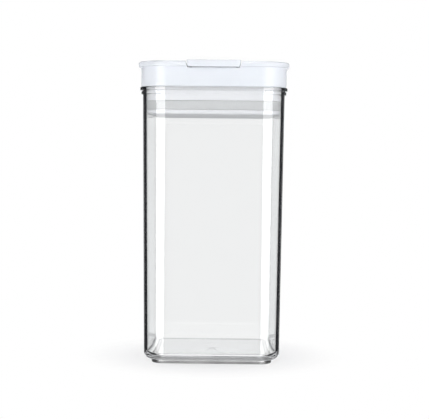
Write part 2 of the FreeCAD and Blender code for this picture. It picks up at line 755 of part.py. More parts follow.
def biarc(start, start_way, end, end_way):
    """Return two arcs that join two points and keep the direction at each of them."""
    chord = end - start
    ways = start_way + end_way
    square = ways.dot(ways) - 4
    half = -chord.dot(ways)
    reach = (-half - math.sqrt(half * half - square * chord.dot(chord))) / square
    knees = (start + start_way * reach, end - end_way * reach)
    joint = (knees[0] + knees[1]) / 2
    arcs = []
    for first, knee, last in ((start, knees[0], joint), (joint, knees[1], end)):
        middle = (first + last) / 2
        half_turn = math.acos(min(1.0, (last - first).Length / 2 / reach))
        rise = reach * (1 - math.cos(half_turn)) / math.tan(half_turn)
        crown = middle + (knee - middle).normalize() * rise
        arcs.append(Part.Arc(first, crown, last))
    return arcs


def make_return_spring():
    """Coil spring round the stem, from the plate's floor to the well's underside, with closed ends."""
    wire = number("spring_wire")
    radius = number("spring_diameter / 2")
    turns = number("spring_turns")
    low = number("plate_ceiling + spring_wire / 2 + spring_end_gap")
    high = number("well_bottom - spring_wire / 2 - spring_end_gap")
    closed_pitch = number("spring_wire + closed_coil_gap")
    open_pitch = (high - low - 2 * closed_pitch) / (turns - 2)
    steps = round(turns * SPRING_STEPS_PER_TURN)

    def level(turn):
        if turn < 1:
            return low + closed_pitch * turn
        if turn > turns - 1:
            return high - closed_pitch * (turns - turn)
        return low + closed_pitch + open_pitch * (turn - 1)

    points = []
    for step in range(steps + 1):
        turn = turns * step / steps
        angle = 2 * math.pi * turn
        points.append(FreeCAD.Vector(radius * math.cos(angle), radius * math.sin(angle), level(turn)))
    ways = []
    for step, point in enumerate(points):
        before = points[max(step - 1, 0)]
        after = points[min(step + 1, steps)]
        quarters = min(step + 1, steps) - max(step - 1, 0)
        climb = (after.z - before.z) / (quarters * 2 * math.pi / SPRING_STEPS_PER_TURN)
        ways.append(FreeCAD.Vector(-point.y, point.x, climb).normalize())
    arcs = []
    for step in range(steps):
        arcs += biarc(points[step], ways[step], points[step + 1], ways[step + 1])
    path = Part.Wire([arc.toShape() for arc in arcs])
    section = Part.Wire([Part.Circle(points[0], ways[0], wire / 2).toShape()])
    coil = path.makePipeShell([section], True, False)

    samples = [arc.value(arc.FirstParameter + share * (arc.LastParameter - arc.FirstParameter))
               for arc in arcs for share in (0.0, 0.25, 0.5, 0.75)]
    per_turn = len(samples) * 1.0 / turns
    gaps = [(first - second).Length - wire
            for index, first in enumerate(samples)
            for second in samples[index + round(per_turn / 2):]]
    print(f"return_spring least gap to itself {min(gaps):.2f} mm, volume {coil.Volume:.1f},"
          f" section times length {math.pi * wire ** 2 / 4 * path.Length:.1f}")
    if min(gaps) < MIN_SPRING_GAP:
        raise RuntimeError("the spring's coils are too close")
    spring = doc.addObject("Part::Feature", "return_spring")
    spring.Label = "return_spring"
    spring.Shape = coil
    spring.Placement = FreeCAD.Placement()
    return spring


def write_parts(sub_parts):
    """Check every object of the document and write one file for each sub-part."""
    doc.recompute()
    failed = [item.Name for item in doc.Objects if {"Invalid", "Error"} & set(item.State)]
    if failed:
        raise RuntimeError(f"failed objects: {failed}")
    for sub_part in sub_parts:
        if sub_part.Shape.isNull() or not sub_part.Shape.isValid():
            raise RuntimeError(f"{sub_part.Label} has no valid shape")
    os.makedirs("parts", exist_ok=True)
    for sub_part in sub_parts:
        sub_part.Shape.exportStep(f"parts/{sub_part.Label}.step")
        shape = sub_part.Shape
        print(f"{sub_part.Label}: solids {len(shape.Solids)}, volume {shape.Volume:.0f} mm3")


write_parts([
    make_canister_body(),
    make_lid_cap(),
    make_flip_lever(),
    make_draw_stem(),
    make_lever_pin(),
    make_cam_plate(),
    make_lid_plug(),
    make_seal_ring(),
    make_pressure_plate(),
    make_lid_screws(),
    make_return_spring(),
])
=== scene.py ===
"""Looks of a square clear canister with a flip-lever lid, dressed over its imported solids.

Metres, +Z up, with the lever's free end to the front, -Y. Every outline of this canister is the
same square grown outwards by a radius, so a section is written as that radius and a height.
"""
from __future__ import annotations

import logging
import math
from dataclasses import dataclass
from enum import Enum
from typing import Any, NamedTuple, Sequence

import bmesh
import bpy
from mathutils import Matrix, Vector


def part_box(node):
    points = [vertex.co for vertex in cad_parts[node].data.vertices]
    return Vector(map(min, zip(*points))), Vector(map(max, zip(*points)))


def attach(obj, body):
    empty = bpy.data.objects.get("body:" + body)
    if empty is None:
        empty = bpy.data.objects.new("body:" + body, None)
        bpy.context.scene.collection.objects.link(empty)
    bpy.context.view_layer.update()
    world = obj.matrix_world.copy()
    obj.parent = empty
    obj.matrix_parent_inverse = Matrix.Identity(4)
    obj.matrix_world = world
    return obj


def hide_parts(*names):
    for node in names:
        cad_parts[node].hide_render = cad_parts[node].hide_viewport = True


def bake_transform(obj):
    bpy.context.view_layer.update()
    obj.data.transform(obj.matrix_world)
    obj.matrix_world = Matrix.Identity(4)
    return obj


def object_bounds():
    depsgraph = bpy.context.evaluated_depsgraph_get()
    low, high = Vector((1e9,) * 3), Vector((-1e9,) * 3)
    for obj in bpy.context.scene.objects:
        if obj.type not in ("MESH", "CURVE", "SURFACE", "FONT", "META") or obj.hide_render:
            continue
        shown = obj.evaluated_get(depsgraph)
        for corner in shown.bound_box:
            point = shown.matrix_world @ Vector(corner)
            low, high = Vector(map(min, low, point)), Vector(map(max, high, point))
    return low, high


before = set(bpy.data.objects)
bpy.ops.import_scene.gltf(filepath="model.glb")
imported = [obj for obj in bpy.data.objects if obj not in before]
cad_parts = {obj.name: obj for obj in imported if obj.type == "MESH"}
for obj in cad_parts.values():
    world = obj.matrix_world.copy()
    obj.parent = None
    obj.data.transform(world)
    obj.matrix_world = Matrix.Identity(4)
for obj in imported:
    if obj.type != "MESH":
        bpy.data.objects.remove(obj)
CAD_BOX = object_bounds()

LOG = logging.getLogger("canister")

Colour = tuple[float, float, float]
Stretch = tuple[float, float, float]
Outline = list[tuple[float, float]]
Loop = list[bmesh.types.BMVert]

QUARTER_TURN = math.pi / 2
FULL_TURN = 2 * math.pi


class Carrier(Enum):
    """The moving bodies; of the pieces made here, only the canister is attached to one."""

    CANISTER = "canister"
    LID = "lid"
    PLATE = "plate"


class Slot(Enum):
    """The record's material slots for the pieces made here, which this script doesn't assign."""

    CLEAR = "clear_plastic"
    SILICONE = "grey_silicone"
    STEEL = "stainless_steel"


class Lay(Enum):
    """The way that the fine lines of a drawn metal run, as a stretch of its texture."""

    ALONG_PIN = (0.02, 1.0, 1.0)
    ALONG_STEM = (1.0, 1.0, 0.02)
    ALONG_WIRE = (0.3, 0.3, 1.0)


class Detail(Enum):
    """How many finer layers a cloudy pattern has."""

    SMOOTH = 1.0
    SOFT = 2.0
    CLOUDY = 3.0
    RICH = 4.0


# Shader maths

UNSTRETCHED = (1.0, 1.0, 1.0)

# Sockets of a Mix node that mixes colours; their names are shared with its other sockets
MIX_FACTOR = 0
MIX_FIRST = 6
MIX_SECOND = 7
MIX_COLOUR = 2


def grey(level: float) -> Colour:
    """Return a grey of the given level."""
    return (level, level, level)


def solid(colour: Colour) -> tuple[float, float, float, float]:
    """Return a colour with full alpha."""
    return (*colour, 1.0)


class Signal:
    """A shader number on which Python's operators add Math nodes."""

    def __init__(self, graph: Graph, socket: bpy.types.NodeSocket) -> None:
        """Keep the graph and the socket that gives the number."""
        self.graph = graph
        self.socket = socket

    def _math(self, operation: str, first: Any, second: Any) -> Signal:
        """Add one Math node and return what it gives."""
        node = self.graph.node("ShaderNodeMath", {"operation": operation}, {0: first, 1: second})
        return Signal(self.graph, node.outputs[0])

    def __add__(self, other: Any) -> Signal:
        """Add a number or a signal."""
        return self._math("ADD", self, other)

    __radd__ = __add__

    def __sub__(self, other: Any) -> Signal:
        """Take away a number or a signal."""
        return self._math("SUBTRACT", self, other)

    def __rsub__(self, other: Any) -> Signal:
        """Take this signal away from a number."""
        return self._math("SUBTRACT", other, self)

    def __mul__(self, other: Any) -> Signal:
        """Multiply by a number or a signal."""
        return self._math("MULTIPLY", self, other)

    __rmul__ = __mul__

    def __lt__(self, other: Any) -> Signal:
        """Give 1 where this signal is the smaller, and 0 elsewhere."""
        return self._math("LESS_THAN", self, other)

    def __gt__(self, other: Any) -> Signal:
        """Give 1 where this signal is the larger, and 0 elsewhere."""
        return self._math("GREATER_THAN", self, other)


class Graph:
    """The node tree of a material or of the world, filled by one method."""

    def __init__(self, tree: bpy.types.NodeTree) -> None:
        """Take over a tree and empty it."""
        self.tree = tree
        tree.nodes.clear()

    def node(self, kind: str, settings: dict[str, Any] | None = None,
             inputs: dict[str | int, Any] | None = None) -> bpy.types.Node:
        """Add a node.

        Args:
            kind: Blender's name of the node's type.
            settings: Properties of the node, which are set first.
            inputs: Values, signals or sockets by the input's name or number.

        Returns:
            The new node.
        """
        node = self.tree.nodes.new(kind)
        for name, value in (settings or {}).items():
            setattr(node, name, value)
        for key, value in (inputs or {}).items():
            if isinstance(value, Signal):
                value = value.socket
            if isinstance(value, bpy.types.NodeSocket):
                self.tree.links.new(value, node.inputs[key])
            else:
                node.inputs[key].default_value = value
        return node

    def signal(self, kind: str, output: str | int, settings: dict[str, Any] | None = None,
               inputs: dict[str | int, Any] | None = None) -> Signal:
        """Add a node and return one of its outputs as a signal."""
        return Signal(self, self.node(kind, settings, inputs).outputs[output])

    def place(self, stretch: Stretch = UNSTRETCHED) -> bpy.types.NodeSocket:
        """Give the place on the piece.

        Args:
            stretch: How the place is stretched along the axes.

        Returns:
            The place in metres.
        """
        coordinates = self.node("ShaderNodeTexCoord")
        mapping = self.node("ShaderNodeMapping", None,
                            {"Vector": coordinates.outputs["Object"], "Scale": stretch})
        return mapping.outputs["Vector"]

    def z_of(self, vector: bpy.types.NodeSocket) -> Signal:
        """Return the Z of a place or of a direction."""
        return self.signal("ShaderNodeSeparateXYZ", "Z", None, {"Vector": vector})

    def noise(self, size: float, detail: Detail, stretch: Stretch = UNSTRETCHED) -> Signal:
        """Give a cloudy pattern.

        Args:
            size: How wide one cloud is, in metres.
            detail: How many finer layers it has.
            stretch: How the pattern is stretched along the axes.

        Returns:
            The pattern, from 0 to 1.
        """
        return self.signal("ShaderNodeTexNoise", "Fac", None,
                           {"Vector": self.place(stretch), "Scale": 1.0 / size, "Detail": detail.value})

    def tone(self, factor: Signal, low: Colour, high: Colour) -> bpy.types.NodeSocket:
        """Return a colour between two colours."""
        mix = self.node("ShaderNodeMix", {"data_type": "RGBA"},
                        {MIX_FACTOR: factor, MIX_FIRST: solid(low), MIX_SECOND: solid(high)})
        return mix.outputs[MIX_COLOUR]

    def ramp(self, value: Signal, start: float, full: float) -> Signal:
        """Return a smooth step that is 0 up to the start and 1 from the full value on."""
        return self.signal("ShaderNodeMapRange", "Result", {"interpolation_type": "SMOOTHSTEP"},
                           {"Value": value, "From Min": start, "From Max": full})

    def bump(self, height: Signal, depth: float) -> bpy.types.NodeSocket:
        """Return a normal bent by a height pattern of the given depth in metres."""
        return self.node("ShaderNodeBump", None,
                         {"Height": height, "Distance": depth}).outputs["Normal"]

    def blend(self, factor: Signal, first: bpy.types.Node, second: bpy.types.Node) -> bpy.types.Node:
        """Mix two shaders; a factor of 1 shows the second."""
        return self.node("ShaderNodeMixShader", None,
                         {0: factor, 1: first.outputs[0], 2: second.outputs[0]})

    def show(self, shader: bpy.types.Node) -> None:
        """Make a shader the surface of the material."""
        self.node("ShaderNodeOutputMaterial", None, {"Surface": shader.outputs[0]})


def new_material(name: str) -> tuple[bpy.types.Material, Graph]:
    """Start a material.

    Args:
        name: The material's name.

    Returns:
        The material and its empty graph.
    """
    material = bpy.data.materials.new(name)
    material.use_nodes = True
    return material, Graph(material.node_tree)


# Finishes

@dataclass(frozen=True)
class ClearPlastic:
    """Clear polished plastic, a little wavy from the mould and rubbed, with a dull base.

    The foot is dulled by scuffs and darkened by a painted shade that stands in for its dark contact line;
    both fade out between two heights, and so does the matt of the flat underside.
    """

    name: str = "clear_moulded_plastic"
    tint: Colour = (0.992, 0.996, 0.996)
    ior: float = 1.57
    polish: float = 0.004
    haze: float = 0.03
    rub_size: float = 0.0016
    rub_stretch: Stretch = (1.0, 1.0, 0.12)
    cloud_size: float = 0.02
    wave_size: float = 0.045
    wave_depth: float = 0.000012
    shadow_pass: float = 0.96
    # painted shade: the grey that the foot's band is darkened towards, standing in for its dark contact
    # line
    foot_shade_tint: Colour = (0.1, 0.1, 0.1)
    foot_shade_even: float = 0.6
    scuff_dull: float = 0.25
    scuff_and_shade_low: float = 0.0015
    scuff_and_shade_high: float = 0.0024
    matt_base: float = 0.9
    base_low: float = 0.0026
    base_high: float = 0.003
    flat_start: float = 0.95
    flat_full: float = 0.99

    def build(self) -> bpy.types.Material:
        """Make the material, which lamps shine through.

        Returns:
            The material.
        """
        material, graph = new_material(self.name)
        rubs = graph.noise(self.rub_size, Detail.SOFT, self.rub_stretch)
        clouds = graph.noise(self.cloud_size, Detail.CLOUDY)
        waves = graph.noise(self.wave_size, Detail.SMOOTH)
        level = graph.z_of(graph.place())
        # the foot's band, which scuffs dull and a painted shade darkens
        scuffed_and_shaded = 1.0 - graph.ramp(level, self.scuff_and_shade_low, self.scuff_and_shade_high)
        # painted shade of the foot's contact line, a little uneven
        painted_foot_shade = scuffed_and_shaded * (self.foot_shade_even + (1.0 - self.foot_shade_even) * clouds)
        tilt = graph.z_of(graph.node("ShaderNodeNewGeometry").outputs["True Normal"])
        flat = graph.ramp(tilt * tilt, self.flat_start, self.flat_full)
        underside = flat * (1.0 - graph.ramp(level, self.base_low, self.base_high))
        dullness = self.scuff_dull * scuffed_and_shaded + self.matt_base * underside
        surface = graph.node("ShaderNodeBsdfPrincipled", None, {
            "Base Color": graph.tone(painted_foot_shade, self.tint, self.foot_shade_tint),
            "Roughness": self.polish + self.haze * rubs * clouds + dullness,
            "IOR": self.ior,
            "Transmission Weight": 1.0,
            "Normal": graph.bump(waves, self.wave_depth),
        })
        let_through = graph.node("ShaderNodeBsdfTransparent", None,
                                 {"Color": solid(grey(self.shadow_pass))})
        shadow = graph.signal("ShaderNodeLightPath", "Is Shadow Ray")
        shader = graph.blend(shadow, surface, let_through)
        graph.show(shader)
        return material


@dataclass(frozen=True)
class MouldedPlastic:
    """Opaque moulded plastic with an even tone, a fine skin and soft sink marks."""

    name: str
    pale: Colour
    deep: Colour
    gloss: float
    dull: float
    cloud_size: float = 0.012
    cloud_share: float = 0.6
    skin_size: float = 0.0011
    skin_depth: float = 0.000004
    sink_size: float = 0.03
    sink_depth: float = 0.00003
    glow: float = 0.3
    glow_depth: float = 0.004

    def build(self) -> bpy.types.Material:
        """Make the material.

        Returns:
            The material.
        """
        material, graph = new_material(self.name)
        clouds = graph.noise(self.cloud_size, Detail.RICH)
        specks = graph.noise(self.skin_size, Detail.SOFT)
        sinks = graph.noise(self.sink_size, Detail.SMOOTH)
        height = specks * (self.skin_depth / self.sink_depth) + sinks
        wear = clouds * self.cloud_share + specks * (1.0 - self.cloud_share)
        surface = graph.node("ShaderNodeBsdfPrincipled", None, {
            "Base Color": graph.tone(clouds, self.deep, self.pale),
            "Roughness": self.gloss + (self.dull - self.gloss) * wear,
            "Subsurface Weight": self.glow,
            "Subsurface Radius": (1.0, 1.0, 1.0),
            "Subsurface Scale": self.glow_depth,
            "Normal": graph.bump(height, self.sink_depth),
        })
        graph.show(surface)
        return material


@dataclass(frozen=True)
class Silicone:
    """Satin grey silicone with a fine grain and a trace of dust."""

    name: str = "grey_satin_silicone"
    pale: Colour = (0.66, 0.67, 0.675)
    deep: Colour = (0.59, 0.60, 0.605)
    satin: float = 0.42
    matt: float = 0.6
    grain_size: float = 0.0004
    grain_depth: float = 0.00001
    dust_size: float = 0.006

    def build(self) -> bpy.types.Material:
        """Make the material.

        Returns:
            The material.
        """
        material, graph = new_material(self.name)
        grain = graph.noise(self.grain_size, Detail.SOFT)
        dust = graph.noise(self.dust_size, Detail.RICH)
        surface = graph.node("ShaderNodeBsdfPrincipled", None, {
            "Base Color": graph.tone(dust, self.deep, self.pale),
            "Roughness": self.satin + (self.matt - self.satin) * dust,
            "Normal": graph.bump(grain, self.grain_depth),
        })
        graph.show(surface)
        return material


@dataclass(frozen=True)
class DrawnSteel:
    """Bright stainless steel with fine lines along the way that it was drawn."""

    name: str
    lay: Lay
    bright: Colour = (0.66, 0.66, 0.65)
    dark: Colour = (0.52, 0.52, 0.52)
    polish: float = 0.16
    rough: float = 0.34
    line_size: float = 0.00025
    line_depth: float = 0.000004
    stain_size: float = 0.003

    def build(self) -> bpy.types.Material:
        """Make the material.

        Returns:
            The material.
        """
        material, graph = new_material(self.name)
        lines = graph.noise(self.line_size, Detail.SOFT, self.lay.value)
        stain = graph.noise(self.stain_size, Detail.CLOUDY)
        surface = graph.node("ShaderNodeBsdfPrincipled", None, {
            "Base Color": graph.tone(stain, self.dark, self.bright),
            "Metallic": 1.0,
            "Roughness": self.polish + (self.rough - self.polish) * lines,
            "Normal": graph.bump(lines, self.line_depth),
        })
        graph.show(surface)
        return material


WHITE_PLASTIC = MouldedPlastic("white_gloss_plastic", pale=(0.835, 0.86, 0.9), deep=(0.81, 0.838, 0.883),
                               gloss=0.13, dull=0.24, glow=0.0)
INNER_WHITE = MouldedPlastic("white_inner_plastic", pale=(0.86, 0.87, 0.895), deep=(0.83, 0.84, 0.865),
                             gloss=0.24, dull=0.38)
ACETAL_PLASTIC = MouldedPlastic("natural_acetal", pale=(0.80, 0.80, 0.77), deep=(0.74, 0.74, 0.71),
                                gloss=0.3, dull=0.45)


# Meshes

CORNER_CENTRE = 0.0326
SQUARE_CORNERS = 4
DOWNWARD = (0, 0, -1)
FLATS_WEIGHT = 80


class Bend(NamedTuple):
    """A corner of a section: how far out of the square, how high, and how much it is rounded."""

    out: float
    up: float
    rounding: float = 0.0


def round_bends(bends: Sequence[Bend], steps: int, closed: bool) -> Outline:
    """Turn a section's corners into points, with an arc at each rounded corner.

    Args:
        bends: The corners in order.
        steps: How many steps an arc has.
        closed: Whether the last corner goes on to the first.

    Returns:
        The points of the section.
    """
    points = []
    count = len(bends)
    for index, bend in enumerate(bends):
        corner = Vector((bend.out, bend.up))
        at_end = not closed and index in (0, count - 1)
        if at_end or bend.rounding == 0:
            points.append(tuple(corner))
            continue
        back = (Vector(bends[index - 1][:2]) - corner).normalized()
        ahead = (Vector(bends[(index + 1) % count][:2]) - corner).normalized()
        half_angle = back.angle(ahead) / 2
        middle = corner + (back + ahead).normalized() * (bend.rounding / math.sin(half_angle))
        reach = bend.rounding / math.tan(half_angle)
        first = corner + back * reach - middle
        last = corner + ahead * reach - middle
        turn = math.pi - 2 * half_angle
        for step in range(steps + 1):
            share = step / steps
            from_first = first * math.sin((1 - share) * turn)
            from_last = last * math.sin(share * turn)
            points.append(tuple(middle + (from_first + from_last) / math.sin(turn)))
    return points


def bridge(mesh: bmesh.types.BMesh, first: Loop, second: Loop) -> None:
    """Add the faces between two loops that have the same number of points.

    Args:
        mesh: The mesh that holds both loops.
        first: One loop.
        second: The other loop.
    """
    for index in range(len(first)):
        after = (index + 1) % len(first)
        mesh.faces.new((first[index], first[after], second[after], second[index]))


@dataclass(frozen=True)
class SquareSweep:
    """A section carried round a square, whose corners are the centres of the round corners."""

    half_side: float = CORNER_CENTRE
    corner_steps: int = 24
    side_steps: int = 8

    def stations(self) -> list[tuple[Vector, Vector]]:
        """Go round the square.

        Returns:
            The foot and the outward direction at each place.
        """
        stations = []
        corner = Vector((self.half_side, self.half_side))
        for quarter in range(SQUARE_CORNERS):
            turn = quarter * QUARTER_TURN
            centre = Matrix.Rotation(turn, 2) @ corner
            following = Matrix.Rotation(turn + QUARTER_TURN, 2) @ corner
            for step in range(self.corner_steps + 1):
                angle = turn + step / self.corner_steps * QUARTER_TURN
                stations.append((centre, Vector((math.cos(angle), math.sin(angle)))))
            square_on = stations[-1][1]
            for step in range(1, self.side_steps):
                stations.append((centre.lerp(following, step / self.side_steps), square_on))
        return stations

    def ring(self, mesh: bmesh.types.BMesh, out: float, up: float) -> Loop:
        """Add the points of one outline and return them."""
        return [mesh.verts.new((*(foot + way * out), up)) for foot, way in self.stations()]

    def sweep(self, mesh: bmesh.types.BMesh, section: Outline, closed: bool) -> list[Loop]:
        """Add the faces between the outlines of a section.

        Args:
            mesh: The mesh that the faces go into.
            section: The points of the section.
            closed: Whether the last outline goes on to the first.

        Returns:
            The outlines.
        """
        rings = [self.ring(mesh, out, up) for out, up in section]
        following = rings[1:] + rings[:1] if closed else rings[1:]
        for lower, upper in zip(rings, following):
            bridge(mesh, lower, upper)
        return rings


def finish_mesh(mesh: bmesh.types.BMesh, name: str) -> bpy.types.Object:
    """Turn a mesh into a smooth piece with even normals on its flats, and report it.

    Args:
        mesh: The mesh, which is freed.
        name: The piece's name.

    Returns:
        The piece.
    """
    bmesh.ops.recalc_face_normals(mesh, faces=mesh.faces)
    data = bpy.data.meshes.new(name)
    mesh.to_mesh(data)
    mesh.free()
    for polygon in data.polygons:
        polygon.use_smooth = True
    piece = bpy.data.objects.new(name, data)
    bpy.context.scene.collection.objects.link(piece)
    piece.modifiers.new("even_flats", "WEIGHTED_NORMAL").weight = FLATS_WEIGHT
    LOG.info("built %s with %d faces", name, len(data.polygons))
    return piece


def dress(piece: bpy.types.Object, material: bpy.types.Material) -> None:
    """Give a piece one material all over."""
    piece.data.materials.clear()
    piece.data.materials.append(material)


def dress_node(name: str, material: bpy.types.Material) -> None:
    """Give a node of the frame one material and report it."""
    dress(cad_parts[name], material)
    LOG.info("dressed %s in %s", name, material.name)


# Sub-assemblies

@dataclass
class ClearBody:
    """The clear canister: walls that lean out, a rounded base, a foot ring and two beads at the rim.

    A bead and the groove are given as how far they stand proud and how high they are. The profile of
    the moulding gate is given in shares of its radius and of its height.
    """

    wall: float = 0.0024
    lean: float = 0.002
    rim_out: float = 0.0164
    mouth_rounding: float = 0.0006
    floor_thickness: float = 0.0032
    floor_rounding: float = 0.0036
    base_rounding: float = 0.0053
    foot_height: float = 0.0024
    foot_out: float = 0.009
    foot_ring: float = 0.0032
    foot_inner_rounding: float = 0.0004
    foot_outer_rounding: float = 0.0007
    foot_root_rounding: float = 0.00008
    upper_bead: tuple[float, float] = (0.0018, 0.0023)
    upper_bead_rounding: float = 0.00046
    groove: tuple[float, float] = (0.0003, 0.0006)
    groove_rounding: float = 0.0001
    lower_bead: tuple[float, float] = (0.001, 0.0021)
    lower_bead_rounding: float = 0.00028
    neck_rounding: float = 0.00025
    gate_radius: float = 0.0025
    gate_height: float = 0.0004
    gate_profile: tuple[tuple[float, float], ...] = ((1.0, 0.0), (1.0, 0.8), (0.92, 1.0))
    cap_inset: float = 0.003
    arc_steps: int = 10
    gate_steps: int = 40

    def wall_out(self, level: float) -> float:
        """Tell where the leaning wall is.

        Args:
            level: The height on the wall.

        Returns:
            How far out of the square the wall's outside is there.
        """
        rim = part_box("canister_body")[1].z
        slope = self.lean / (rim - self.foot_height)
        return self.rim_out - slope * (rim - level)

    def section(self) -> Outline:
        """Work out the section.

        Returns:
            Its points from the underside, round the rim, to the inside of the floor.
        """
        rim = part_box("canister_body")[1].z
        floor = self.foot_height + self.floor_thickness
        upper_proud, upper_height = self.upper_bead
        lower_proud, lower_height = self.lower_bead
        groove_proud, groove_height = self.groove
        upper_level = rim - upper_height
        lower_top = upper_level - groove_height
        lower_level = lower_top - lower_height
        foot_inside = self.foot_out - self.foot_ring
        upper_out = self.rim_out + upper_proud
        groove_out = self.rim_out + groove_proud
        lower_out = self.rim_out + lower_proud
        bends = [
            Bend(self.cap_inset, self.foot_height),
            Bend(foot_inside, self.foot_height, self.foot_inner_rounding),
            Bend(foot_inside, 0.0, self.foot_inner_rounding),
            Bend(self.foot_out, 0.0, self.foot_outer_rounding),
            Bend(self.foot_out, self.foot_height, self.foot_root_rounding),
            Bend(self.rim_out - self.lean, self.foot_height, self.base_rounding),
            Bend(self.wall_out(lower_level), lower_level, self.neck_rounding),
            Bend(lower_out, lower_level, self.lower_bead_rounding),
            Bend(lower_out, lower_top, self.lower_bead_rounding),
            Bend(groove_out, lower_top, self.groove_rounding),
            Bend(groove_out, upper_level, self.groove_rounding),
            Bend(upper_out, upper_level, self.upper_bead_rounding),
            Bend(upper_out, rim, self.upper_bead_rounding),
            Bend(self.rim_out - self.wall, rim, self.mouth_rounding),
            Bend(self.wall_out(floor) - self.wall, floor, self.floor_rounding),
            Bend(self.cap_inset, floor),
        ]
        return round_bends(bends, self.arc_steps, closed=False)

    def gate_circle(self, mesh: bmesh.types.BMesh, radius_share: float, height_share: float) -> Loop:
        """Add one circle of the disc that the moulding gate leaves under the base.

        Args:
            mesh: The canister's mesh.
            radius_share: The circle's radius as a share of the disc's.
            height_share: How far down the disc the circle is, as a share of its height.

        Returns:
            The circle's points.
        """
        radius = radius_share * self.gate_radius
        level = self.foot_height - height_share * self.gate_height
        circle = []
        for step in range(self.gate_steps):
            angle = FULL_TURN * step / self.gate_steps
            circle.append(mesh.verts.new((radius * math.cos(angle), radius * math.sin(angle), level)))
        return circle

    def add_underside(self, mesh: bmesh.types.BMesh, outline: Loop) -> None:
        """Close the underside round the gate's disc.

        Args:
            mesh: The canister's mesh.
            outline: The innermost outline of the underside.
        """
        circles = [self.gate_circle(mesh, *shares) for shares in self.gate_profile]
        for upper, lower in zip(circles, circles[1:]):
            bridge(mesh, upper, lower)
        mesh.faces.new(circles[-1])
        edges = []
        for loop in (outline, circles[0]):
            for start, end in zip(loop, loop[1:] + loop[:1]):
                edges.append(mesh.edges.get((start, end)) or mesh.edges.new((start, end)))
        bmesh.ops.triangle_fill(mesh, edges=edges, use_beauty=True, normal=DOWNWARD)

    def build(self) -> bpy.types.Object:
        """Make the canister in place of its solid.

        Returns:
            The canister.
        """
        mesh = bmesh.new()
        rings = SquareSweep().sweep(mesh, self.section(), closed=False)
        self.add_underside(mesh, rings[0])
        mesh.faces.new(rings[-1])
        piece = finish_mesh(mesh, "clear_canister")
        dress(piece, ClearPlastic().build())
        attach(piece, Carrier.CANISTER.value)
        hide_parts("canister_body")
        return piece


@dataclass
class SoftSeal:
    """The silicone ring between plug and plate, with a crowned outside and soft edges."""

    width: float = 0.0057
    crown: float = 0.00012
    shoulder: float = 0.00014
    edge_rounding: float = 0.0007
    inner_rounding: float = 0.0003
    crown_rounding: float = 0.012
    arc_steps: int = 8

    def section(self) -> Outline:
        """Work out the section.

        Returns:
            Its points, from the lower inner edge round to the upper one.
        """
        low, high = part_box("seal_ring")
        outside = high.x - CORNER_CENTRE
        inside = outside - self.width
        bends = [
            Bend(inside, low.z, self.inner_rounding),
            Bend(outside - self.shoulder, low.z, self.edge_rounding),
            Bend(outside + self.crown, (low.z + high.z) / 2, self.crown_rounding),
            Bend(outside - self.shoulder, high.z, self.edge_rounding),
            Bend(inside, high.z, self.inner_rounding),
        ]
        return round_bends(bends, self.arc_steps, closed=True)

    def build(self) -> bpy.types.Object:
        """Make the ring.

        Returns:
            The ring.
        """
        mesh = bmesh.new()
        SquareSweep().sweep(mesh, self.section(), closed=True)
        piece = finish_mesh(mesh, "soft_seal_ring")
        dress(piece, Silicone().build())
        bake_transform(piece)
        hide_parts("seal_ring")
        return piece


@dataclass
class ReturnSpring:
    """The wire coil round the stem, wound closer at both ends."""

    wire: float = 0.0009
    turns: int = 6
    closed_gap: float = 0.00055
    steps_per_turn: int = 40
    wire_sides: int = 12

    def centre_line(self) -> list[Vector]:
        """Wind the middle of the wire.

        Returns:
            Its points from the lower end to the upper one.
        """
        low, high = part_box("return_spring")
        radius = high.x - self.wire / 2
        bottom = low.z + self.wire / 2
        top = high.z - self.wire / 2
        closed = self.wire + self.closed_gap
        pitch = (top - bottom - 2 * closed) / (self.turns - 2)
        points = []
        for step in range(self.turns * self.steps_per_turn + 1):
            turn = step / self.steps_per_turn
            angle = FULL_TURN * turn
            if turn < 1:
                level = bottom + closed * turn
            elif turn > self.turns - 1:
                level = top - closed * (self.turns - turn)
            else:
                level = bottom + closed + pitch * (turn - 1)
            points.append(Vector((radius * math.cos(angle), radius * math.sin(angle), level)))
        return points

    def wire_loop(self, mesh: bmesh.types.BMesh, point: Vector, ahead: Vector) -> Loop:
        """Add the points round the wire at one place.

        Args:
            mesh: The coil's mesh.
            point: The middle of the wire there.
            ahead: The way that the wire runs there.

        Returns:
            The points.
        """
        outward = Vector((point.x, point.y, 0)).normalized()
        upward = ahead.normalized().cross(outward).normalized()
        loop = []
        for side in range(self.wire_sides):
            angle = FULL_TURN * side / self.wire_sides
            spoke = outward * math.cos(angle) + upward * math.sin(angle)
            loop.append(mesh.verts.new(point + spoke * (self.wire / 2)))
        return loop

    def build(self) -> bpy.types.Object:
        """Make the coil.

        Returns:
            The coil.
        """
        points = self.centre_line()
        mesh = bmesh.new()
        loops = []
        for index, point in enumerate(points):
            ahead = points[min(index + 1, len(points) - 1)] - points[max(index - 1, 0)]
            loops.append(self.wire_loop(mesh, point, ahead))
        for loop, following in zip(loops, loops[1:]):
            bridge(mesh, loop, following)
        mesh.faces.new(loops[0])
        mesh.faces.new(loops[-1])
        piece = finish_mesh(mesh, "return_coil")
        dress(piece, DrawnSteel("spring_wire_steel", Lay.ALONG_WIRE).build())
        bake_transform(piece)
        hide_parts("return_spring")
        return piece


@dataclass
class LidShell:
    """The white cap and what is fixed in it."""

    cap: str = "lid_cap"
    plug: str = "lid_plug"
    wear_plate: str = "cam_plate"
    screws: str = "lid_screws"

    def build(self, white: bpy.types.Material, inner: bpy.types.Material, wear: bpy.types.Material) -> None:
        """Dress the cap, the plug, the wear plate and the screws.

        Args:
            white: The plastic of the cap.
            inner: The plastic of the plug.
            wear: The plastic of the wear plate.
        """
        dress_node(self.cap, white)
        dress_node(self.plug, inner)
        dress_node(self.wear_plate, wear)
        dress_node(self.screws, DrawnSteel("screw_steel", Lay.ALONG_STEM).build())


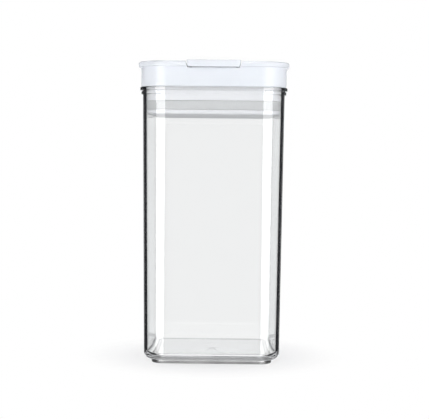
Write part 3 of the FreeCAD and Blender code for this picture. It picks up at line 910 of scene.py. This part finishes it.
@dataclass
class LeverTrain:
    """The flip lever with the pin, stem and plate that it draws up."""

    lever: str = "flip_lever"
    pin: str = "lever_pin"
    stem: str = "draw_stem"
    plate: str = "pressure_plate"

    def build(self, white: bpy.types.Material, inner: bpy.types.Material, wear: bpy.types.Material) -> None:
        """Dress the lever, the pin, the stem and the plate.

        Args:
            white: The plastic of the lever.
            inner: The plastic of the plate.
            wear: The plastic of the stem.
        """
        dress_node(self.lever, white)
        dress_node(self.pin, DrawnSteel("pin_steel", Lay.ALONG_PIN).build())
        dress_node(self.stem, wear)
        dress_node(self.plate, inner)


# Studio

class LampUse(Enum):
    """What a lamp is for: to light matt surfaces, or to be mirrored in glossy ones."""

    FILL = "fill"
    MIRRORED = "mirrored"


class LampReach(Enum):
    """Which pieces a lamp lights: all, only the cap and the lever, or all but these two."""

    ALL = "ALL"
    LID = "INCLUDE"
    BELOW_LID = "EXCLUDE"


LID_TOP_NODES = ("lid_cap", "flip_lever")


@dataclass(frozen=True)
class Softbox:
    """A flat lamp that faces the canister.

    The azimuth is measured from the front, to the right, and both angles are in degrees.
    """

    name: str
    azimuth: float
    elevation: float
    distance: float
    width: float
    height: float
    radiance: float
    use: LampUse
    reach: LampReach = LampReach.ALL

    def limit(self, lamp: bpy.types.Object) -> None:
        """Let the lamp light only the pieces in its reach.

        Args:
            lamp: The lamp.
        """
        pieces = bpy.data.collections.new(self.name)
        for name in LID_TOP_NODES:
            pieces.objects.link(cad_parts[name])
        for entry in pieces.collection_objects:
            entry.light_linking.link_state = self.reach.value
        lamp.light_linking.receiver_collection = pieces

    def build(self, target: Vector) -> bpy.types.Object:
        """Make the lamp, which isn't seen itself; a fill shines through the clear walls without loss.

        Args:
            target: The place that the lamp faces.

        Returns:
            The lamp.
        """
        data = bpy.data.lights.new(self.name, "AREA")
        data.shape = "RECTANGLE"
        data.size = self.width
        data.size_y = self.height
        data.energy = self.radiance * math.pi * self.width * self.height
        data.cycles.use_multiple_importance_sampling = self.use is LampUse.MIRRORED
        azimuth = math.radians(self.azimuth)
        elevation = math.radians(self.elevation)
        way = Vector((math.sin(azimuth) * math.cos(elevation), -math.cos(azimuth) * math.cos(elevation),
                      math.sin(elevation)))
        lamp = bpy.data.objects.new(self.name, data)
        lamp.location = target + way * self.distance
        lamp.rotation_mode = "QUATERNION"
        lamp.rotation_quaternion = way.to_track_quat("Z", "Y")
        lamp.visible_camera = False
        lamp.visible_transmission = False
        lamp.visible_diffuse = self.use is LampUse.FILL
        lamp.visible_glossy = self.use is LampUse.MIRRORED
        if self.reach is not LampReach.ALL:
            self.limit(lamp)
        bpy.context.scene.collection.objects.link(lamp)
        return lamp


# Name, azimuth, elevation, distance, width, height, radiance, use and reach of each lamp
SOFTBOXES = (
    Softbox("left_fill", -26.5, 0.0, 1.2, 0.80, 1.3, 2.38, LampUse.FILL),
    Softbox("right_fill", 45.0, 0.0, 1.2, 1.05, 1.3, 2.38, LampUse.FILL),
    Softbox("top_fill", 0.0, 90.0, 1.2, 1.2, 1.2, 0.3, LampUse.FILL),
    Softbox("rear_top_fill", 180.0, 55.0, 1.2, 1.2, 1.0, 1.4, LampUse.FILL),
    Softbox("rear_left_fill", -140.0, 15.0, 1.4, 0.8, 1.0, 1.3, LampUse.FILL),
    Softbox("rear_right_fill", 140.0, 15.0, 1.4, 0.8, 1.0, 1.3, LampUse.FILL),
    Softbox("side_left_fill", -95.0, 5.0, 1.2, 1.0, 1.2, 1.5, LampUse.FILL),
    Softbox("side_right_fill", 95.0, 5.0, 1.2, 1.0, 1.2, 0.6, LampUse.FILL),
    Softbox("left_strip", -27.2, 0.0, 1.25, 0.98, 1.35, 6.0, LampUse.MIRRORED, LampReach.BELOW_LID),
    Softbox("right_strip", 34.0, 0.0, 1.25, 1.03, 1.35, 6.0, LampUse.MIRRORED, LampReach.BELOW_LID),
    Softbox("left_lid_strip", -27.2, -10.8, 1.273, 0.98, 0.886, 6.0, LampUse.MIRRORED, LampReach.LID),
    Softbox("right_lid_strip", 34.0, -10.8, 1.273, 1.03, 0.886, 6.0, LampUse.MIRRORED, LampReach.LID),
    Softbox("top_strip", 0.0, 90.0, 1.2, 1.2, 1.2, 0.1, LampUse.MIRRORED),
)


@dataclass(frozen=True)
class PhotoCamera:
    """The camera at the photograph's angle; angles in degrees, the focal length in the frame's pixels."""

    name: str = "photo_camera"
    distance: float = 0.88
    height: float = 0.145
    yaw: float = -0.57
    pitch: float = 2.61
    roll: float = -0.55
    aim: float = 0.06
    focal_pixels: float = 1223.0
    frame_pixels: float = 429.0
    sensor: float = 36.0
    nearest: float = 0.01

    def turn(self) -> Matrix:
        """Work out which way the camera looks and how it leans.

        Returns:
            The camera's turn.
        """
        look = math.radians(self.yaw + self.aim)
        pitch = math.radians(self.pitch)
        roll = math.radians(self.roll)
        forward = Vector((math.sin(look) * math.cos(pitch), math.cos(look) * math.cos(pitch),
                          -math.sin(pitch)))
        right = Vector((math.cos(look), -math.sin(look), 0.0))
        up = right.cross(forward)
        tilted_right = right * math.cos(roll) - up * math.sin(roll)
        tilted_up = right * math.sin(roll) + up * math.cos(roll)
        return Matrix((tilted_right, tilted_up, -forward)).transposed().to_4x4()

    def build(self) -> bpy.types.Object:
        """Make the camera and set it as the scene's.

        Returns:
            The camera.
        """
        data = bpy.data.cameras.new(self.name)
        data.sensor_fit = "HORIZONTAL"
        data.sensor_width = self.sensor
        data.lens = self.focal_pixels / self.frame_pixels * self.sensor
        data.clip_start = self.nearest
        yaw = math.radians(self.yaw)
        place = Vector((-self.distance * math.sin(yaw), -self.distance * math.cos(yaw), self.height))
        camera = bpy.data.objects.new(self.name, data)
        camera.matrix_world = Matrix.Translation(place) @ self.turn()
        bpy.context.scene.collection.objects.link(camera)
        bpy.context.scene.camera = camera
        return camera


# A ray's depths are whole numbers, so a half tells no bounce from one or more
HALF_BOUNCE = 0.5


@dataclass
class Studio:
    """A pale floor, soft lamps, a white surround for what is seen straight and a dim one for mirrors."""

    floor_size: float = 6.0
    floor_steps: int = 24
    floor_albedo: float = 0.88
    floor_contrast: float = 0.02
    floor_cloud_size: float = 0.4
    floor_glow: float = 1.0
    shadow_share: float = 0.9
    shadow_near: float = 0.03
    shadow_far: float = 0.1
    seen_white: Colour = (1.0, 1.0, 1.0)
    ambient: Colour = (0.3, 0.305, 0.32)
    dark_side: Colour = (0.018, 0.018, 0.021)
    side_start: float = 0.01
    side_full: float = 0.12
    mild_front: Colour = (0.28, 0.284, 0.292)
    pale_above: Colour = (0.95, 0.96, 0.98)
    above_start: float = 0.03
    above_full: float = 0.25
    bright_rear: Colour = (0.96, 0.97, 0.98)
    rear_start: float = 0.93
    rear_full: float = 0.985

    @staticmethod
    def scattered(graph: Graph) -> Signal:
        """Give 1 for rays that have met a matt surface on the way."""
        return graph.signal("ShaderNodeLightPath", "Diffuse Depth") > HALF_BOUNCE

    @staticmethod
    def seen_straight(graph: Graph) -> Signal:
        """Give 1 for rays that have met no mirror or matt surface on the way, through clear walls too.

        Args:
            graph: The graph that the nodes go into.

        Returns:
            1 for such rays, and 0 for others.
        """
        path = graph.node("ShaderNodeLightPath")
        mirror_bounces = Signal(graph, path.outputs["Glossy Depth"])
        matt_bounces = Signal(graph, path.outputs["Diffuse Depth"])
        return (mirror_bounces + matt_bounces) < HALF_BOUNCE

    @staticmethod
    def background(graph: Graph, colour: Colour) -> bpy.types.Node:
        """Add a surround of one colour."""
        return graph.node("ShaderNodeBackground", None, {"Color": solid(colour)})

    def floor_material(self) -> bpy.types.Material:
        """Make the floor's material: white where it is seen, with the canister's soft shadow near it.

        Returns:
            The material.
        """
        material, graph = new_material("pale_floor")
        position = graph.node("ShaderNodeNewGeometry").outputs["Position"]
        spread = graph.signal("ShaderNodeVectorMath", "Value", {"operation": "LENGTH"}, {0: position})
        fade = self.shadow_share * (1.0 - graph.ramp(spread, self.shadow_near, self.shadow_far))
        cloud = graph.noise(self.floor_cloud_size, Detail.SOFT)
        pale = grey(self.floor_albedo + self.floor_contrast)
        matt = graph.node("ShaderNodeBsdfDiffuse", None,
                          {"Color": graph.tone(cloud, grey(self.floor_albedo), pale)})
        glow = graph.node("ShaderNodeEmission", None, {"Strength": self.floor_glow})
        scattered = self.scattered(graph)
        shown = graph.blend(fade + scattered - fade * scattered, glow, matt)
        clear = graph.node("ShaderNodeBsdfTransparent")
        mirrored = graph.signal("ShaderNodeLightPath", "Is Glossy Ray")
        shader = graph.blend(mirrored, shown, clear)
        graph.show(shader)
        return material

    def build_floor(self) -> bpy.types.Object:
        """Make the floor.

        Returns:
            The floor.
        """
        mesh = bmesh.new()
        bmesh.ops.create_grid(mesh, x_segments=self.floor_steps, y_segments=self.floor_steps,
                              size=self.floor_size / 2)
        data = bpy.data.meshes.new("floor")
        mesh.to_mesh(data)
        mesh.free()
        floor = bpy.data.objects.new("floor", data)
        bpy.context.scene.collection.objects.link(floor)
        dress(floor, self.floor_material())
        return floor

    def build_world(self) -> None:
        """Make the surround: white where it is seen straight, even for matt surfaces, dim for mirrors."""
        world = bpy.data.worlds.new("studio")
        world.use_nodes = True
        bpy.context.scene.world = world
        graph = Graph(world.node_tree)
        way = graph.node("ShaderNodeTexCoord").outputs["Generated"]
        parts = graph.node("ShaderNodeSeparateXYZ", None, {"Vector": way})
        depth = Signal(graph, parts.outputs["Y"])
        across = Signal(graph, parts.outputs["X"])
        level = Signal(graph, parts.outputs["Z"])
        rearward = graph.ramp(depth, self.rear_start, self.rear_full)
        sideways = graph.ramp(across * across, self.side_start, self.side_full)
        upward = graph.ramp(level * level, self.above_start, self.above_full)
        front = self.background(graph, self.mild_front)
        above = self.background(graph, self.pale_above)
        side = self.background(graph, self.dark_side)
        rear = self.background(graph, self.bright_rear)
        even = self.background(graph, self.ambient)
        white = self.background(graph, self.seen_white)
        ahead = graph.blend(sideways, graph.blend(upward, front, above), side)
        mirrored = graph.blend(rearward, ahead, rear)
        lit = graph.blend(self.scattered(graph), mirrored, even)
        shown = graph.blend(self.seen_straight(graph), lit, white)
        graph.node("ShaderNodeOutputWorld", None, {"Surface": shown.outputs[0]})

    def build(self) -> None:
        """Make the floor, the lamps, the surround and the camera."""
        low, high = CAD_BOX
        middle = (low + high) / 2
        self.build_floor()
        self.build_world()
        for softbox in SOFTBOXES:
            softbox.build(middle)
        PhotoCamera().build()
        bpy.context.scene.view_settings.view_transform = "Standard"
        LOG.info("built the studio with %d lamps", len(SOFTBOXES))


def main() -> None:
    """Build the canister, its lid and the studio in order."""
    logging.basicConfig(level=logging.INFO, format="%(message)s")
    white = WHITE_PLASTIC.build()
    inner = INNER_WHITE.build()
    wear = ACETAL_PLASTIC.build()
    ClearBody().build()
    LidShell().build(white, inner, wear)
    LeverTrain().build(white, inner, wear)
    SoftSeal().build()
    ReturnSpring().build()
    Studio().build()


if __name__ == "__main__":
    main()
